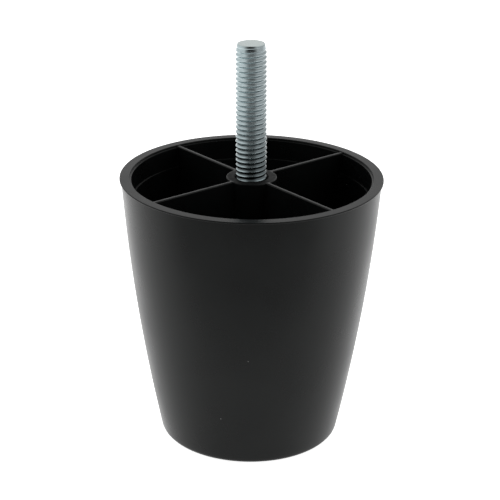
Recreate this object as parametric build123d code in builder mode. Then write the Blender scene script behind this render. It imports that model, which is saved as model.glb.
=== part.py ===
from build123d import *
from math import sqrt, tan, radians
import os

# Tapered furniture leg: a hollow ribbed plastic moulding round a captive threaded bolt.
# Millimetres. The origin is the centre of the base, on the floor, and +Z runs up the stud.

# ---- leg: outside -------------------------------------------------------------------
leg_height = 70.7
rim_radius = 33.7
base_radius = 23.3
wall_bulge = 1.26  # how far the side stands outside a straight taper, halfway up
lip_overhang = 0.45
lip_height = 0.45
base_edge_radius = 1.65
base_ring_width = 5.5
base_recess = 0.6

# ---- leg: inside --------------------------------------------------------------------
rim_width = 2.55
core_recess = 0.2  # rib tops and boss top lie this far below the rim
ledge_depth = 0.55  # the small step inside the rim, also below the rim
ledge_width = 0.45
shoulder_depth = 5.8  # below the rim, where the wall gets thicker
upper_wall_draft = 0.15
wall_thickness = 2.6
floor_thickness = 3.0
floor_corner_radius = 2.0
rib_thickness = 1.0
rib_draft = 0.4  # degrees on each side
rib_angles = (45, 135)
boss_radius = 6.5
boss_foot_radius = 6.7
column_radius = 9.6  # the thicker part of the boss, round the bolt head
column_foot_radius = 10.0
column_above_head = 1.0
column_taper_height = 3.0
core_pin_radius = 4.5  # the mould's pin that holds the bolt head leaves this hole

# ---- bolt: M8 x 1.25 ----------------------------------------------------------------
thread_radius = 7.9 / 2  # a plated 6g thread: 8 mm nominal, 7.76 to 7.97 mm allowed
thread_pitch = 1.25
thread_depth = 0.6134 * thread_pitch
thread_crest = thread_pitch / 8
stud_length = 34.9  # stands out of the boss
point_radius = 3.4
point_length = 1.2
shank_radius = 3.55  # blank size of a rolled thread, about its pitch radius
shank_length = 25.1
head_across_flats = 13.0
head_height = 5.3
head_chamfer = 0.6

# ---- worked out ---------------------------------------------------------------------
neck_radius = rim_radius - lip_overhang
lip_z = leg_height - lip_height
boss_z = leg_height - core_recess
ledge_z = leg_height - ledge_depth
shoulder_z = leg_height - shoulder_depth
rim_inner_radius = rim_radius - rim_width
ledge_inner_radius = rim_inner_radius - ledge_width
head_top_z = boss_z - shank_length
head_z = head_top_z - head_height
head_corner_radius = head_across_flats / sqrt(3)
column_top_z = head_top_z + column_above_head
stud_tip_z = boss_z + stud_length
flank_run = thread_depth * tan(radians(30))
groove_root = thread_pitch - thread_crest - 2 * flank_run
groove_count = int((stud_length - point_length) / thread_pitch)
rib_foot_thickness = rib_thickness + 2 * boss_z * tan(radians(rib_draft))
past = 1.0  # cutters run this far past the face that they cut


def outer_radius(z):
    """Radius of the bulged side wall at height z."""
    t = z / lip_z
    return base_radius + (neck_radius - base_radius) * t + 4 * wall_bulge * t * (1 - t)


def inner_point(z):
    """Point on the inside of the wall at height z, in the XZ profile plane."""
    return (outer_radius(z) - wall_thickness, z)


# ---- stud_bolt ----------------------------------------------------------------------
# The thread is drawn as closed grooves at the true pitch, crest and depth, one per turn.
with BuildPart() as stud_bolt:
    with BuildSketch(Plane.XY.offset(head_z)):
        RegularPolygon(head_across_flats / 2, 6, major_radius=False)
    extrude(amount=head_height)
    with BuildSketch(Plane.XZ):
        with BuildLine():
            Polyline(
                (head_corner_radius - head_chamfer, head_z),
                (head_corner_radius + past, head_z),
                (head_corner_radius + past, head_z + (head_chamfer + past) * tan(radians(30))),
                close=True,
            )
        make_face()
    revolve(axis=Axis.Z, mode=Mode.SUBTRACT)
    with BuildSketch(Plane.XZ):
        with BuildLine():
            Polyline(
                (0, head_top_z),
                (shank_radius, head_top_z),
                (shank_radius, boss_z - (thread_radius - shank_radius)),
                (thread_radius, boss_z),
                (thread_radius, stud_tip_z - point_length),
                (point_radius, stud_tip_z),
                (0, stud_tip_z),
                close=True,
            )
        make_face()
    revolve(axis=Axis.Z)
    with BuildSketch(Plane.XZ):
        for turn in range(groove_count):
            groove_z = boss_z + (turn + 0.5) * thread_pitch
            with BuildLine():
                Polyline(
                    (thread_radius - thread_depth, groove_z - groove_root / 2),
                    (thread_radius - thread_depth, groove_z + groove_root / 2),
                    (thread_radius, groove_z + groove_root / 2 + flank_run),
                    (thread_radius, groove_z - groove_root / 2 - flank_run),
                    close=True,
                )
            make_face()
    revolve(axis=Axis.Z, mode=Mode.SUBTRACT)
stud_bolt.part.label = "stud_bolt"

# ---- pockets: the space that the mould's core fills, split by the ribs and the boss --
with BuildPart() as pockets:
    with BuildSketch(Plane.XZ):
        with BuildLine():
            wall = ThreePointArc(
                inner_point(floor_thickness),
                inner_point((floor_thickness + shoulder_z) / 2),
                inner_point(shoulder_z),
            )
            Polyline(
                wall @ 1,
                (ledge_inner_radius - upper_wall_draft, shoulder_z),
                (ledge_inner_radius, ledge_z),
                (rim_inner_radius, ledge_z),
                (rim_inner_radius, boss_z),
                (0, boss_z),
                (0, floor_thickness),
                wall @ 0,
            )
        make_face()
    revolve(axis=Axis.Z)
    fillet(pockets.edges().group_by(Axis.Z)[0], radius=floor_corner_radius)
    with BuildSketch(Plane.XZ):
        with BuildLine():
            Polyline(
                (0, 0),
                (column_foot_radius, 0),
                (column_radius, column_top_z),
                (boss_foot_radius, column_top_z + column_taper_height),
                (boss_radius, boss_z),
                (0, boss_z),
                close=True,
            )
        make_face()
    revolve(axis=Axis.Z, mode=Mode.SUBTRACT)
    for angle in rib_angles:
        with BuildSketch(Plane.XY.rotated((0, 0, angle))):
            Rectangle(4 * rim_radius, rib_foot_thickness)
        extrude(amount=boss_z, taper=rib_draft, mode=Mode.SUBTRACT)

# ---- leg_body -----------------------------------------------------------------------
with BuildPart() as leg_body:
    with BuildSketch(Plane.XZ):
        with BuildLine():
            side = ThreePointArc(
                (base_radius, 0), (outer_radius(lip_z / 2), lip_z / 2), (neck_radius, lip_z)
            )
            Polyline(
                side @ 1,
                (rim_radius, lip_z),
                (rim_radius, leg_height),
                (rim_inner_radius, leg_height),
                (rim_inner_radius, boss_z),
                (0, boss_z),
                (0, 0),
                side @ 0,
            )
        make_face()
    revolve(axis=Axis.Z)
    fillet(leg_body.edges().group_by(Axis.Z)[0], radius=base_edge_radius)
    with BuildSketch(Plane.XY):
        Circle(base_radius - base_edge_radius - base_ring_width)
    extrude(amount=base_recess, mode=Mode.SUBTRACT)
    with BuildSketch(Plane.XY):
        Circle(core_pin_radius)
    extrude(amount=head_z, mode=Mode.SUBTRACT)
    add(pockets.part, mode=Mode.SUBTRACT)
    add(stud_bolt.part, mode=Mode.SUBTRACT)
leg_body.part.label = "leg_body"

# ---- export -------------------------------------------------------------------------
os.makedirs("parts", exist_ok=True)
for piece in (leg_body.part, stud_bolt.part):
    export_step(piece, f"parts/{piece.label}.step")
    print(piece.label, "volume mm3", round(piece.volume, 1), "valid", piece.is_valid)
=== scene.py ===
"""Looks of a tapered furniture leg: a satin black moulding with a zinc-plated threaded stud.

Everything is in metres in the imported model's frame: the origin is the centre of the base on the
floor, and +Z runs up the stud.
"""

from math import atan2, ceil, cos, pi, radians, sin, sqrt, tan

import bmesh
import bpy
from mathutils import Matrix, Vector
from mathutils.geometry import delaunay_2d_cdt


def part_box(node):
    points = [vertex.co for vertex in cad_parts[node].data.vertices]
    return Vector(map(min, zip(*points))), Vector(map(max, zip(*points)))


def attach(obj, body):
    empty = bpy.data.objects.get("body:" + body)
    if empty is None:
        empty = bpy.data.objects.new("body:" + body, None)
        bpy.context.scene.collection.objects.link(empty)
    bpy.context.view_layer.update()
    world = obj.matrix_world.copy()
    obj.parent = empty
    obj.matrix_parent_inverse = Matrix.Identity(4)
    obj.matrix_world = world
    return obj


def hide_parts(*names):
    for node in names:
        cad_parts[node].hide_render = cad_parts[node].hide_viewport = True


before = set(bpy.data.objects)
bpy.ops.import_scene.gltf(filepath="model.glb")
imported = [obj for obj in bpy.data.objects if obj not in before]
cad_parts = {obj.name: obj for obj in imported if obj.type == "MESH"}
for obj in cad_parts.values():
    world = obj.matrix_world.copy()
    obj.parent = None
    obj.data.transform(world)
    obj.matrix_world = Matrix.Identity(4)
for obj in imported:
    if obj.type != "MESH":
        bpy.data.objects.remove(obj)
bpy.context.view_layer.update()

MM = 0.001

# ---- sizes read from the frame ------------------------------------------------------
leg_low, leg_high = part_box("leg_body")
bolt_low, bolt_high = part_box("stud_bolt")
RIM_R = min(leg_high.x, -leg_low.x)
LEG_H = leg_high.z
TIP_Z = bolt_high.z
HEAD_Z = bolt_low.z
HEAD_CORNER_R = bolt_high.x

# ---- sizes of the leg, as in the CAD part -------------------------------------------
BASE_R = 23.3 * MM
BULGE = 1.26 * MM
LIP_OVER = 0.45 * MM
LIP_H = 0.45 * MM
BASE_EDGE_R = 1.65 * MM
BASE_RING_W = 5.5 * MM
BASE_RECESS = 0.6 * MM
RIM_W = 2.55 * MM
CORE_Z = LEG_H - 0.2 * MM
LEDGE_Z = LEG_H - 0.55 * MM
LEDGE_W = 0.45 * MM
SHOULDER_Z = LEG_H - 5.8 * MM
UPPER_DRAFT = 0.15 * MM
WALL = 2.6 * MM
FLOOR = 3.0 * MM
RIB_T = 1.0 * MM
RIB_DRAFT = radians(0.4)
BOSS_R = 6.5 * MM
BOSS_FOOT_R = 6.7 * MM
COLUMN_R = 9.6 * MM
COLUMN_FOOT_R = 10.0 * MM
HEAD_TOP_Z = CORE_Z - 25.1 * MM
COLUMN_TOP_Z = HEAD_TOP_Z + 1.0 * MM
COLUMN_TAPER_H = 3.0 * MM
PIN_HOLE_R = 4.5 * MM
LIP_Z = LEG_H - LIP_H
NECK_R = RIM_R - LIP_OVER
RIM_IN_R = RIM_R - RIM_W

# ---- sizes of the bolt --------------------------------------------------------------
THREAD_R = 3.95 * MM
PITCH = 1.25 * MM
THREAD_DEPTH = 0.36 * MM  # rolled and plated, so shallow and soft
SHANK_R = 3.55 * MM
SHANK_TOP_Z = CORE_Z - 1.8 * MM  # the thread's mesh takes over above this
HEAD_FLAT_R = 6.5 * MM
HEAD_CHAMFER = 0.6 * MM
THREAD_PHASE = 0.9  # share of a turn
RUN_OUT = 1.0 * MM  # depth below the boss top where the thread fades into the shank
RUN_OUT_SLOPE = 1.6
LEAN = radians(0.6)  # the bolt stands a little out of true in its moulding
LEAN_FROM_Z = CORE_Z - 10 * MM  # the lean starts inside the boss
END_Z = TIP_Z - 0.065 * MM  # the lean lifts one side of the end face
POINT_R = 3.4 * MM
POINT_SLOPE = 0.6  # radius gained for each unit below the end, along the chamfer
LEAD_IN_R = 3.5 * MM  # the first turns, which are only half rolled
LEAD_IN_SLOPE = 0.19
DOME = 0.02 * MM  # how far the end face stands up in its middle

AROUND = 256  # steps round the leg


def new_object(name, mesh):
    """Object of a finished bmesh, shaded smooth, with outward normals."""
    bmesh.ops.remove_doubles(mesh, verts=mesh.verts, dist=1e-7)
    bmesh.ops.recalc_face_normals(mesh, faces=mesh.faces)
    data = bpy.data.meshes.new(name)
    mesh.to_mesh(data)
    mesh.free()
    data.shade_smooth()
    obj = bpy.data.objects.new(name, data)
    bpy.context.scene.collection.objects.link(obj)
    return obj


def weighted_normals(obj):
    """Large flat faces keep flat shading next to their small edge rounds."""
    modifier = obj.modifiers.new("weighted normals", "WEIGHTED_NORMAL")
    modifier.keep_sharp = True
    modifier.weight = 100
    return obj


def rounded_outline(corners):
    """Outline through (r, z, radius) corners, each rounded by a tangent arc of its own radius."""
    steps = 4
    points = []
    for i, (r, z, radius) in enumerate(corners):
        if radius == 0 or i in (0, len(corners) - 1):
            points.append((r, z))
            continue
        here = Vector((r, z))
        back = (Vector(corners[i - 1][:2]) - here).normalized()
        ahead = (Vector(corners[i + 1][:2]) - here).normalized()
        half = back.angle(ahead) / 2
        reach = radius / tan(half)
        bisector = (back + ahead).normalized()
        centre = here + bisector * (radius / sin(half))
        first = here + back * reach - centre
        last = here + ahead * reach - centre
        turn = first.angle_signed(last)
        for k in range(steps + 1):
            p = centre + Matrix.Rotation(-turn * k / steps, 2) @ first
            points.append((p.x, p.y))
    return points


def ring(mesh, radius, z):
    """Vertices of one circle round the Z axis."""
    return [
        mesh.verts.new((radius * cos(2 * pi * i / AROUND), radius * sin(2 * pi * i / AROUND), z))
        for i in range(AROUND)
    ]


def bridge(mesh, lower, upper):
    """Quads between two closed loops of the same length."""
    count = len(lower)
    for i in range(count):
        j = (i + 1) % count
        mesh.faces.new((lower[i], lower[j], upper[j], upper[i]))


def fan(mesh, loop, point):
    """Triangles from a closed loop to one point."""
    tip = mesh.verts.new(point)
    for i, vertex in enumerate(loop):
        mesh.faces.new((vertex, loop[(i + 1) % len(loop)], tip))


# ---- leg ----------------------------------------------------------------------------
def side_radius(z):
    """Radius of the bulged outside wall at height z."""
    t = z / LIP_Z
    return BASE_R + (NECK_R - BASE_R) * t + 4 * BULGE * t * (1 - t)


def side_outline():
    """The wall from just under the lip down to the rounded base edge, as (r, z, radius) corners."""
    steps = 72
    lowest = 1.6 * BASE_EDGE_R  # leaves room for the base edge's round
    heights = [LIP_Z * (1 - i / steps) for i in range(1, steps)]
    return [(side_radius(z), z, 0.0) for z in heights if z > lowest]


def skin_outline():
    """From the step inside the rim, over the rim, down the side, under the base and up the hole.

    The corners are (r, z, radius of the round).
    """
    seat_r = HEAD_CORNER_R + 0.02 * MM
    seat_z = HEAD_Z + 0.05 * MM
    bore_r = SHANK_R + 0.03 * MM
    top = [
        (RIM_IN_R, CORE_Z, 0.0),
        (RIM_IN_R, LEG_H, 0.12 * MM),
        (RIM_R, LEG_H, 0.2 * MM),
        (RIM_R, LIP_Z, 0.16 * MM),
        (NECK_R, LIP_Z, 0.1 * MM),
    ]
    ring_in = BASE_R - BASE_EDGE_R - BASE_RING_W
    under = [
        (BASE_R, 0.0, BASE_EDGE_R),
        (ring_in, 0.0, 0.2 * MM),
        (ring_in - 0.25 * MM, BASE_RECESS, 0.2 * MM),
        (PIN_HOLE_R, BASE_RECESS, 0.3 * MM),
        (PIN_HOLE_R - 0.15 * MM, seat_z, 0.0),
        (seat_r, seat_z, 0.0),
        (seat_r, HEAD_TOP_Z, 0.0),
        (bore_r, HEAD_TOP_Z, 0.0),
        (bore_r, CORE_Z - 1.2 * MM, 0.0),
        (THREAD_R + 0.1 * MM, CORE_Z - 0.75 * MM, 0.0),
        (THREAD_R + 0.18 * MM, CORE_Z - 0.45 * MM, 0.2 * MM),
        (THREAD_R + 0.5 * MM, CORE_Z, 0.15 * MM),
        (THREAD_R + 0.8 * MM, CORE_Z, 0.0),
    ]
    return rounded_outline(top + side_outline() + under)


POCKET_FILLET_OUT = 0.4 * MM
POCKET_FILLET_IN = 0.6 * MM
POCKET_TOP_ROUND = 0.28 * MM
POCKET_FOOT_ROUND = 0.35 * MM
STEP_GAP = 0.02 * MM  # keeps the pockets' mouths clear of the rim's inner edge


def pocket_outline(outer, inner, rib_half, offset):
    """A pocket's closed plan outline on +X, between two diagonal ribs, grown by offset."""
    along = Vector((1, 1)).normalized()
    inward = Vector((1, -1)).normalized()
    outer, inner, rib_half = outer + offset, inner - offset, rib_half - offset
    fillet_out, fillet_in = POCKET_FILLET_OUT + offset, POCKET_FILLET_IN + offset

    def centre(distance, fillet):
        gap = rib_half + fillet
        return inward * gap + along * sqrt(distance * distance - gap * gap)

    c_out = centre(outer - fillet_out, fillet_out)
    c_in = centre(inner + fillet_in, fillet_in)
    out_angle = atan2(c_out.y, c_out.x)
    in_angle = atan2(c_in.y, c_in.x)
    rib_side = radians(135)
    half = [(outer * cos(out_angle * i / 32), outer * sin(out_angle * i / 32)) for i in range(32)]
    for i in range(9):
        a = out_angle + (rib_side - out_angle) * i / 8
        half.append((c_out.x + fillet_out * cos(a), c_out.y + fillet_out * sin(a)))
    start, end = Vector(half[-1]), c_in - inward * fillet_in
    half += [tuple(start.lerp(end, i / 24)) for i in range(1, 24)]
    for i in range(9):
        a = rib_side + (in_angle + pi - rib_side) * i / 8
        half.append((c_in.x + fillet_in * cos(a), c_in.y + fillet_in * sin(a)))
    for i in range(11, -1, -1):
        half.append((inner * cos(in_angle * i / 12), inner * sin(in_angle * i / 12)))
    mirrored = [(x, -y) for x, y in reversed(half[1:-1])]
    return half + mirrored


def top_round(z):
    """How far the edges of the ribs and the boss are rounded back at height z."""
    above = max(0.0, z - (CORE_Z - POCKET_TOP_ROUND))
    return POCKET_TOP_ROUND - sqrt(max(0.0, POCKET_TOP_ROUND**2 - above**2))


def pocket_levels():
    """(height, outer radius, inner radius, plan offset) of a pocket, from its top to its floor."""
    mouth_r = RIM_IN_R - STEP_GAP
    ledge_r = RIM_IN_R - LEDGE_W
    wall_z = SHOULDER_Z - 3 * MM
    quarter = 4  # steps in a quarter of a round
    outline = [
        (mouth_r, CORE_Z - POCKET_TOP_ROUND * (1 - cos(pi / 2 * i / quarter)))
        for i in range(quarter)
    ]
    outline += rounded_outline(
        [
            (mouth_r, CORE_Z - POCKET_TOP_ROUND, 0.0),
            (mouth_r - 0.01 * MM, LEDGE_Z, 0.08 * MM),
            (ledge_r, LEDGE_Z, 0.1 * MM),
            (ledge_r - UPPER_DRAFT, SHOULDER_Z, 0.05 * MM),
            (side_radius(SHOULDER_Z) - WALL, SHOULDER_Z, 0.15 * MM),
            (side_radius(wall_z) - WALL, wall_z, 0.0),
        ]
    )
    bottom = FLOOR + POCKET_FOOT_ROUND
    steps = 40
    for i in range(1, steps + 1):
        z = wall_z + (bottom - wall_z) * i / steps
        outline.append((side_radius(z) - WALL, z))
    levels = []
    for r, z in outline:
        offset = top_round(z)
        levels.append((z, r - offset, boss_radius(z), offset))
    for i in range(1, quarter + 1):
        a = pi / 2 * i / quarter
        inset = POCKET_FOOT_ROUND * (1 - cos(a))
        z = bottom - POCKET_FOOT_ROUND * sin(a)
        levels.append((z, side_radius(z) - WALL, boss_radius(z), -inset))
    return levels


def boss_radius(z):
    """Radius of the boss and of the thicker column under it at height z."""
    taper_top = COLUMN_TOP_Z + COLUMN_TAPER_H
    if z >= taper_top:
        return BOSS_FOOT_R + (BOSS_R - BOSS_FOOT_R) * (z - taper_top) / (CORE_Z - taper_top)
    if z >= COLUMN_TOP_Z:
        t = (z - COLUMN_TOP_Z) / COLUMN_TAPER_H
        t = t * t * (3 - 2 * t)
        return COLUMN_R + (BOSS_FOOT_R - COLUMN_R) * t
    return COLUMN_FOOT_R + (COLUMN_R - COLUMN_FOOT_R) * z / COLUMN_TOP_Z


def half_rib(z):
    """Half a rib's thickness at height z."""
    return RIB_T / 2 + (CORE_Z - z) * tan(RIB_DRAFT)


def make_leg():
    """The moulding: outer skin, four pockets, and the flat web of ledge, rib tops and boss top."""
    mesh = bmesh.new()
    rings = [ring(mesh, r, z) for r, z in skin_outline()]
    for upper, lower in zip(rings, rings[1:]):
        bridge(mesh, lower, upper)
    openings = []
    for quarter in range(4):
        turn = Matrix.Rotation(quarter * pi / 2, 3, "Z")
        loops = []
        for z, outer, inner, offset in pocket_levels():
            outline = pocket_outline(outer, inner, half_rib(z), offset)
            loops.append([mesh.verts.new(turn @ Vector((x, y, z))) for x, y in outline])
        for upper, lower in zip(loops, loops[1:]):
            bridge(mesh, lower, upper)
        floor = loops[-1]
        middle = sum((v.co for v in floor), Vector()) / len(floor)
        fan(mesh, floor, middle)
        openings.append(loops[0])
    fill_web(mesh, rings[0], rings[-1], openings)
    return weighted_normals(new_object("leg_moulding", mesh))


def fill_web(mesh, outer_ring, inner_ring, openings):
    """Triangles over the flat face between the rim's step, the bolt hole and the pockets."""
    loops = [outer_ring, inner_ring] + openings
    flat, edges, sources = [], [], []
    for loop in loops:
        start = len(flat)
        flat += [v.co.xy for v in loop]
        sources += loop
        edges += [(start + i, start + (i + 1) % len(loop)) for i in range(len(loop))]
    points, _, faces, origins, _, _ = delaunay_2d_cdt(flat, edges, [], 0, 1e-9)
    hole_r = inner_ring[0].co.xy.length
    z, outer, inner, offset = pocket_levels()[0]
    mouth = pocket_outline(outer, inner, half_rib(z), offset)
    vertices = [sources[o[0]] for o in origins]
    for face in faces:
        middle = sum((points[i] for i in face), Vector((0, 0))) / len(face)
        if middle.length > hole_r and not in_pocket(middle, mouth):
            mesh.faces.new([vertices[i] for i in face])


def in_pocket(point, outline):
    """Is this point of the web's plane inside the mouth of one of the four pockets?"""
    x, y = abs(point.x), abs(point.y)
    if x < y:
        x, y = y, x
    inside = False
    for (ax, ay), (bx, by) in zip(outline, outline[1:] + outline[:1]):
        if (ay > y) != (by > y) and x < ax + (y - ay) * (bx - ax) / (by - ay):
            inside = not inside
    return inside


# ---- bolt ---------------------------------------------------------------------------
def thread_profile():
    """One pitch of the thread, as (share of the pitch, radius): a soft wave from crest to crest."""
    steps = 20
    shares = [i / steps for i in range(steps)]
    return [(share, THREAD_R - THREAD_DEPTH * (1 - cos(2 * pi * share)) / 2) for share in shares]


def make_stud():
    """The bolt: right-hand helical thread with a chamfered point, plain shank and hex head."""
    mesh = bmesh.new()
    profile = thread_profile()
    per_turn = 96
    start_z = CORE_Z - 4 * PITCH
    turns = ceil((TIP_Z - start_z) / PITCH) + 1
    rows = []
    for i in range(turns * per_turn + 1):
        angle = 2 * pi * (i / per_turn + THREAD_PHASE)
        base = start_z + PITCH * (i / per_turn)
        row = []
        for share, radius in profile:
            z = base + share * PITCH
            below = max(0.0, END_Z - z)
            chamfer = POINT_R + below * POINT_SLOPE
            lead_in = LEAD_IN_R + below * LEAD_IN_SLOPE
            run_out = SHANK_R + max(0.0, (z - CORE_Z + RUN_OUT) * RUN_OUT_SLOPE)
            r = min(radius, chamfer, lead_in, run_out)
            row.append(mesh.verts.new((r * cos(angle), r * sin(angle), z)))
        rows.append(row)
    count = len(profile)
    for i in range(turns * per_turn):
        for k in range(count - 1):
            mesh.faces.new((rows[i][k], rows[i + 1][k], rows[i + 1][k + 1], rows[i][k + 1]))
        if i + per_turn + 1 <= turns * per_turn:
            above, above_next = rows[i + per_turn][0], rows[i + per_turn + 1][0]
            mesh.faces.new((rows[i][count - 1], rows[i + 1][count - 1], above_next, above))
    cut(mesh, SHANK_TOP_Z, above=False)
    cut(mesh, END_Z, above=True)
    cap_point(mesh)
    add_shank_and_head(mesh)
    bend = [v for v in mesh.verts if v.co.z > CORE_Z]
    lean = Matrix.Rotation(-LEAN, 3, "Y")
    bmesh.ops.rotate(mesh, verts=bend, cent=(0, 0, LEAN_FROM_Z), matrix=lean)
    return weighted_normals(new_object("threaded_stud", mesh))


def cut(mesh, z, above):
    """Removes what lies above, or below, a level."""
    geometry = mesh.verts[:] + mesh.edges[:] + mesh.faces[:]
    bmesh.ops.bisect_plane(
        mesh,
        geom=geometry,
        plane_co=(0, 0, z),
        plane_no=(0, 0, 1),
        clear_outer=above,
        clear_inner=not above,
        dist=1e-8,
    )


def open_loop(mesh, z):
    """The open boundary at a level, ordered by angle."""
    verts = {v for e in mesh.edges if e.is_boundary for v in e.verts if abs(v.co.z - z) < 1e-6}
    return sorted(verts, key=lambda v: atan2(v.co.y, v.co.x))


def cap_point(mesh):
    """Closes the tip with a slightly domed end face."""
    edge = open_loop(mesh, END_Z)
    outer = edge
    for share, rise in ((0.97, 0.012 * MM), (0.9, 0.018 * MM), (0.6, DOME), (0.3, DOME)):
        inner = [mesh.verts.new((v.co.x * share, v.co.y * share, END_Z + rise)) for v in edge]
        bridge(mesh, outer, inner)
        outer = inner
    fan(mesh, outer, (0, 0, END_Z + DOME))


def add_shank_and_head(mesh):
    """Shank and hex head below the thread, in rings with as many vertices as the thread's foot."""
    loop = open_loop(mesh, SHANK_TOP_Z)
    angles = [atan2(v.co.y, v.co.x) for v in loop]
    under_head_round = 0.3 * MM
    chamfer_r = HEAD_CORNER_R - HEAD_CHAMFER
    tucked = 0.995  # the bottom face's edge lies just inside the chamfer's
    middle_r = 3 * MM
    slope = tan(radians(30))

    def hex_radius(a):
        return HEAD_FLAT_R / cos((a + pi / 6) % (pi / 3) - pi / 6)

    def level(radius_at, z_at):
        return [
            mesh.verts.new((radius_at(a) * cos(a), radius_at(a) * sin(a), z_at(a))) for a in angles
        ]

    def foot(a):
        return HEAD_Z + max(0.0, (hex_radius(a) - chamfer_r) * slope)

    rings = [
        loop,
        level(lambda a: SHANK_R, lambda a: HEAD_TOP_Z + under_head_round),
        level(lambda a: SHANK_R + under_head_round, lambda a: HEAD_TOP_Z),
        level(hex_radius, lambda a: HEAD_TOP_Z),
        level(hex_radius, foot),
        level(lambda a: min(chamfer_r, hex_radius(a)) * tucked, lambda a: HEAD_Z),
        level(lambda a: middle_r, lambda a: HEAD_Z),
    ]
    for upper, lower in zip(rings, rings[1:]):
        bridge(mesh, lower, upper)
    fan(mesh, rings[-1], (0, 0, HEAD_Z))


# ---- materials ----------------------------------------------------------------------
def new_material(name):
    material = bpy.data.materials.new(name)
    material.use_nodes = True
    nodes = material.node_tree.nodes
    return material, nodes, material.node_tree.links, nodes["Principled BSDF"]


def split_xyz(nodes, links, vector):
    node = nodes.new("ShaderNodeSeparateXYZ")
    links.new(vector, node.inputs["Vector"])
    return node.outputs["X"], node.outputs["Y"], node.outputs["Z"]


def length(nodes, links, vector):
    node = nodes.new("ShaderNodeVectorMath")
    node.operation = "LENGTH"
    links.new(vector, node.inputs[0])
    return node.outputs["Value"]


def off_axis(nodes, links, x, y):
    """Distance from the leg's axis."""
    flat = nodes.new("ShaderNodeCombineXYZ")
    links.new(x, flat.inputs["X"])
    links.new(y, flat.inputs["Y"])
    return length(nodes, links, flat.outputs["Vector"])


def noise(nodes, links, vector, scale, detail):
    texture = nodes.new("ShaderNodeTexNoise")
    texture.inputs["Scale"].default_value = scale
    texture.inputs["Detail"].default_value = detail
    links.new(vector, texture.inputs["Vector"])
    return texture.outputs["Fac"]


def ramp(nodes, links, value, stops):
    """Colour ramp over (position, colour) stops."""
    node = nodes.new("ShaderNodeValToRGB")
    elements = node.color_ramp.elements
    elements[0].position, elements[0].color = stops[0][0], (*stops[0][1], 1)
    elements[1].position, elements[1].color = stops[-1][0], (*stops[-1][1], 1)
    for position, color in stops[1:-1]:
        elements.new(position).color = (*color, 1)
    links.new(value, node.inputs["Fac"])
    return node.outputs["Color"]


def greys(*stops):
    """Grey ramp stops out of (position, tone) pairs."""
    return [(position, (tone, tone, tone)) for position, tone in stops]


def spread(nodes, links, value, low, high, to_low, to_high):
    """Clamped linear change from one range to another."""
    node = nodes.new("ShaderNodeMapRange")
    node.inputs["From Min"].default_value = low
    node.inputs["From Max"].default_value = high
    node.inputs["To Min"].default_value = to_low
    node.inputs["To Max"].default_value = to_high
    links.new(value, node.inputs["Value"])
    return node.outputs["Result"]


def mix_color(nodes, links, factor, first, second):
    """From a linked colour to a fixed one."""
    node = nodes.new("ShaderNodeMix")
    node.data_type = "RGBA"
    links.new(factor, node.inputs["Factor"])
    links.new(first, node.inputs["A"])
    node.inputs["B"].default_value = (*second, 1)
    return node.outputs["Result"]


def calculate(nodes, links, operation, *values):
    """A math node over numbers and links."""
    node = nodes.new("ShaderNodeMath")
    node.operation = operation
    for socket, value in zip(node.inputs, values):
        if isinstance(value, (int, float)):
            socket.default_value = value
        else:
            links.new(value, socket)
    return node.outputs["Value"]


def bump(nodes, links, height, strength, distance, normal=None):
    node = nodes.new("ShaderNodeBump")
    node.inputs["Strength"].default_value = strength
    node.inputs["Distance"].default_value = distance
    links.new(height, node.inputs["Height"])
    if normal is not None:
        links.new(normal, node.inputs["Normal"])
    return node.outputs["Normal"]


def black_plastic():
    """Satin black polypropylene: fine grain, faint haze, specks of dust and a duller boss top."""
    material, nodes, links, shader = new_material("black_plastic")
    place = nodes.new("ShaderNodeTexCoord").outputs["Object"]
    grain = noise(nodes, links, place, 3600, 3)
    haze = noise(nodes, links, place, 70, 5)

    specks = nodes.new("ShaderNodeTexVoronoi")
    specks.inputs["Scale"].default_value = 420
    links.new(place, specks.inputs["Vector"])
    pick = nodes.new("ShaderNodeSeparateColor")
    links.new(specks.outputs["Color"], pick.inputs["Color"])
    chosen = calculate(nodes, links, "GREATER_THAN", pick.outputs["Red"], 0.985)
    near = spread(nodes, links, specks.outputs["Distance"], 0.04, 0.09, 1.0, 0.0)
    dust = calculate(nodes, links, "MULTIPLY", chosen, near)

    tone = ramp(
        nodes, links, haze, [(0.3, (0.0028, 0.0032, 0.0033)), (0.7, (0.0047, 0.0053, 0.0054))]
    )
    links.new(mix_color(nodes, links, dust, tone, (0.16, 0.16, 0.155)), shader.inputs["Base Color"])

    x, y, z = split_xyz(nodes, links, place)
    within = spread(nodes, links, off_axis(nodes, links, x, y), BOSS_R - 0.5 * MM, BOSS_R, 1.0, 0.0)
    on_top = spread(nodes, links, z, CORE_Z - 1 * MM, CORE_Z - 0.5 * MM, 0.0, 1.0)
    on_boss = calculate(nodes, links, "MULTIPLY", within, on_top)
    mottle = spread(nodes, links, noise(nodes, links, place, 900, 4), 0.35, 0.65, 0.7, 1.0)
    dull = calculate(nodes, links, "MULTIPLY", on_boss, mottle)
    satin = spread(nodes, links, haze, 0.3, 0.7, 0.25, 0.33)
    rough = calculate(nodes, links, "ADD", satin, calculate(nodes, links, "MULTIPLY", dull, 0.4))
    links.new(rough, shader.inputs["Roughness"])
    shader.inputs["Specular IOR Level"].default_value = 0.143
    shader.inputs["Specular Tint"].default_value = (0.985, 1.0, 0.98, 1)
    links.new(bump(nodes, links, grain, 0.35, 0.000015), shader.inputs["Normal"])
    return material


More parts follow.
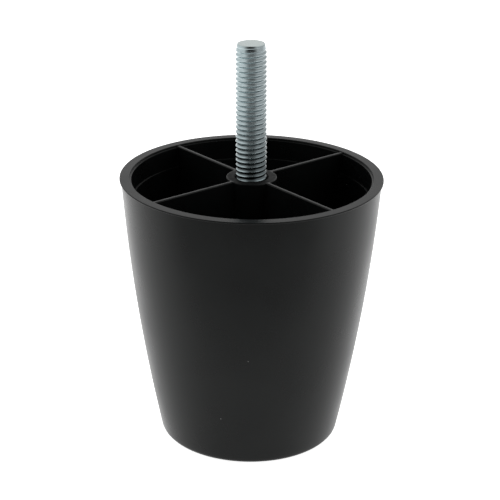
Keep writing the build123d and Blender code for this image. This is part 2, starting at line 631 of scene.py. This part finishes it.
def zinc_plate():
    """Bluish zinc plate on rolled steel, with painted shade in the thread's roots and towards the
    boss.
    """
    material, nodes, links, shader = new_material("zinc_plate")
    place = nodes.new("ShaderNodeTexCoord").outputs["Object"]
    x, y, z = split_xyz(nodes, links, place)
    radius = off_axis(nodes, links, x, y)
    crest = spread(nodes, links, radius, THREAD_R - THREAD_DEPTH, THREAD_R, 0.0, 1.0)

    stretch = nodes.new("ShaderNodeMapping")
    stretch.inputs["Scale"].default_value = (260, 260, 5200)
    links.new(place, stretch.inputs["Vector"])
    rolled = noise(nodes, links, stretch.outputs["Vector"], 1.0, 3)
    cloud = noise(nodes, links, place, 900, 4)

    worn = ramp(nodes, links, cloud, [(0.3, (0.36, 0.435, 0.45)), (0.7, (0.46, 0.545, 0.56))])
    # painted shade: the plate darkens in the thread's roots, where the grooves are shaded
    root = spread(nodes, links, crest, 0.05, 0.8, 1.0, 0.0)
    plated = mix_color(nodes, links, root, worn, (0.26, 0.30, 0.31))
    # painted shade: the plate darkens towards the boss, most of all in the roots
    foot = spread(nodes, links, z, CORE_Z + 3 * MM, CORE_Z + 18 * MM, 0.85, 0.0)
    sunk = spread(nodes, links, crest, 0.5, 0.95, 1.0, 0.3)
    painted_shade = calculate(nodes, links, "MULTIPLY", foot, sunk)
    plated = mix_color(nodes, links, painted_shade, plated, (0.05, 0.06, 0.063))
    end = spread(nodes, links, z, TIP_Z - 0.2 * MM, TIP_Z - 0.1 * MM, 0.0, 1.0)
    color = mix_color(nodes, links, end, plated, (0.43, 0.495, 0.49))
    links.new(color, shader.inputs["Base Color"])
    rough = spread(nodes, links, rolled, 0.3, 0.7, 0.1, 0.2)
    links.new(rough, shader.inputs["Roughness"])
    fine = bump(nodes, links, rolled, 0.3, 0.00003)
    links.new(bump(nodes, links, cloud, 0.25, 0.00003, fine), shader.inputs["Normal"])
    shader.inputs["Metallic"].default_value = 1.0
    return material


# Metres from the leg's axis. The floor's painted shade fades in between the first two to the front
# and out between the second two to the sides. Its tones run out to its reach.
SHADE_FRONT = (0.045, 0.09)
SHADE_SIDE = (0.14, 0.2)
SHADE_REACH = 0.3
# painted light: the floor's glow is uneven across this width
TABLE_HALF = 0.4  # the light table's tones run this far to each side


def floor_paper():
    """Matt white paper on a light table, with a soft painted shade on it in front of the leg."""
    material, nodes, links, shader = new_material("floor_paper")
    place = nodes.new("ShaderNodeTexCoord").outputs["Object"]
    fibre = noise(nodes, links, place, 400, 2)
    tone = ramp(nodes, links, fibre, greys((0.3, 0.885), (0.7, 0.905)))
    x, y, _ = split_xyz(nodes, links, place)

    far = spread(nodes, links, length(nodes, links, place), 0.0, SHADE_REACH, 0.0, 1.0)
    # painted shadow on the paper in front of the leg, with nothing there to cast it
    painted_shade_tones = greys(
        (0.18, 0.0),
        (0.3, 0.4),
        (0.53, 0.65),
        (0.67, 0.85),
        (0.71, 0.75),
        (0.76, 0.4),
        (0.85, 0.0),
        (1.0, 0.0),
    )
    in_front = spread(nodes, links, y, -SHADE_FRONT[0], -SHADE_FRONT[1], 0.0, 1.0)
    aside = calculate(nodes, links, "ABSOLUTE", x)
    central = spread(nodes, links, aside, *SHADE_SIDE, 1.0, 0.0)
    ahead = calculate(nodes, links, "MULTIPLY", in_front, central)
    shade = calculate(nodes, links, "MULTIPLY", ramp(nodes, links, far, painted_shade_tones), ahead)
    lit = calculate(nodes, links, "SUBTRACT", 1.0, shade)

    # painted light: the paper's glow varies across X, in brighter and dimmer patches to the sides
    across = spread(nodes, links, x, -TABLE_HALF, TABLE_HALF, 0.0, 1.0)
    table = greys(
        (0.0, 0.5),
        (0.14, 0.6),
        (0.26, 1.2),
        (0.42, 1.2),
        (0.5, 1.0),
        (0.65, 1.1),
        (0.75, 1.4),
        (1.0, 1.0),
    )
    glow = calculate(nodes, links, "MULTIPLY", ramp(nodes, links, across, table), lit)
    # painted shadow: under the shade the paper's colour also goes grey
    links.new(mix_color(nodes, links, shade, tone, (0.5, 0.5, 0.5)), shader.inputs["Base Color"])
    links.new(tone, shader.inputs["Emission Color"])
    links.new(glow, shader.inputs["Emission Strength"])
    shader.inputs["Roughness"].default_value = 0.9
    shader.inputs["Specular IOR Level"].default_value = 0.1
    return material


# ---- studio -------------------------------------------------------------------------
FLOOR_HALF = 4.0
FLOOR_GAP = 0.03 * MM  # keeps the floor clear of the base ring, so that the two don't flicker


def make_floor():
    """The wide floor, which isn't part of the object."""
    mesh = bmesh.new()
    bmesh.ops.create_grid(mesh, x_segments=8, y_segments=8, size=FLOOR_HALF)
    floor = new_object("studio_floor", mesh)
    floor.location.z = -FLOOR_GAP
    floor.data.materials.append(floor_paper())


def make_light():
    """A white light tent all round, with a dim gap in its front wall.

    The tent's tones go round from the left (0 and 1) by the front (0.25), the right (0.5) and the
    back (0.75). The ceiling's tones go up by the sine of the elevation.
    """
    world = bpy.data.worlds.new("studio")
    bpy.context.scene.world = world
    world.use_nodes = True
    nodes, links = world.node_tree.nodes, world.node_tree.links
    direction = nodes.new("ShaderNodeTexCoord").outputs["Generated"]
    turn = nodes.new("ShaderNodeTexGradient")
    turn.gradient_type = "RADIAL"
    links.new(direction, turn.inputs["Vector"])
    tent = greys(
        (0.0, 1.0),
        (0.1, 0.95),
        (0.17, 0.22),
        (0.21, 0.06),
        (0.3, 0.06),
        (0.34, 0.22),
        (0.41, 0.95),
        (0.6, 0.95),
        (0.75, 0.87),
        (1.0, 1.0),
    )
    walls = ramp(nodes, links, turn.outputs["Fac"], tent)
    up = split_xyz(nodes, links, direction)[2]
    overhead = spread(nodes, links, up, 0.7, 0.95, 0.0, 0.7)
    ceiling = greys((0.0, 1.0), (0.7, 1.0), (0.88, 0.7), (1.0, 0.45))
    both = nodes.new("ShaderNodeMix")
    both.data_type = "RGBA"
    both.blend_type = "MULTIPLY"
    both.inputs["Factor"].default_value = 1.0
    links.new(mix_color(nodes, links, overhead, walls, (1.0, 1.0, 1.0)), both.inputs["A"])
    links.new(ramp(nodes, links, up, ceiling), both.inputs["B"])
    background = nodes["Background"]
    links.new(both.outputs["Result"], background.inputs["Color"])
    background.inputs["Strength"].default_value = 1.05


# The camera's distances go with the rim's radius, because that was the unit of the fit.
CAMERA_AZIMUTH = radians(5.4)
CAMERA_AWAY = 11.4816 * RIM_R
CAMERA_ABOVE_RIM = 4.0756 * RIM_R
CAMERA_PITCH = 0.3875
CAMERA_YAW = radians(0.032)
CAMERA_ROLL = radians(0.6)
SENSOR = 36  # millimetres, like the lens
LENS = 115.632


def make_camera():
    """A long lens, a little to the right and above, looking slightly down."""
    data = bpy.data.cameras.new("camera")
    data.sensor_width = SENSOR
    data.lens = LENS
    camera = bpy.data.objects.new("camera", data)
    place = Vector(
        (
            CAMERA_AWAY * sin(CAMERA_AZIMUTH),
            -CAMERA_AWAY * cos(CAMERA_AZIMUTH),
            LEG_H + CAMERA_ABOVE_RIM,
        )
    )
    turn = Matrix.Rotation(CAMERA_AZIMUTH + CAMERA_YAW, 4, "Z")
    tilt = Matrix.Rotation(pi / 2 - CAMERA_PITCH, 4, "X")
    roll = Matrix.Rotation(CAMERA_ROLL, 4, "Z")
    camera.matrix_world = Matrix.Translation(place) @ turn @ tilt @ roll
    bpy.context.scene.collection.objects.link(camera)
    bpy.context.scene.camera = camera


# ---- the scene ----------------------------------------------------------------------
make_camera()
make_light()
make_floor()

leg = make_leg()
leg.data.materials.append(black_plastic())
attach(leg, "root")
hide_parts("leg_body")

stud = make_stud()
stud.data.materials.append(zinc_plate())
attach(stud, "root")
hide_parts("stud_bolt")

bpy.context.scene.view_settings.view_transform = "Standard"
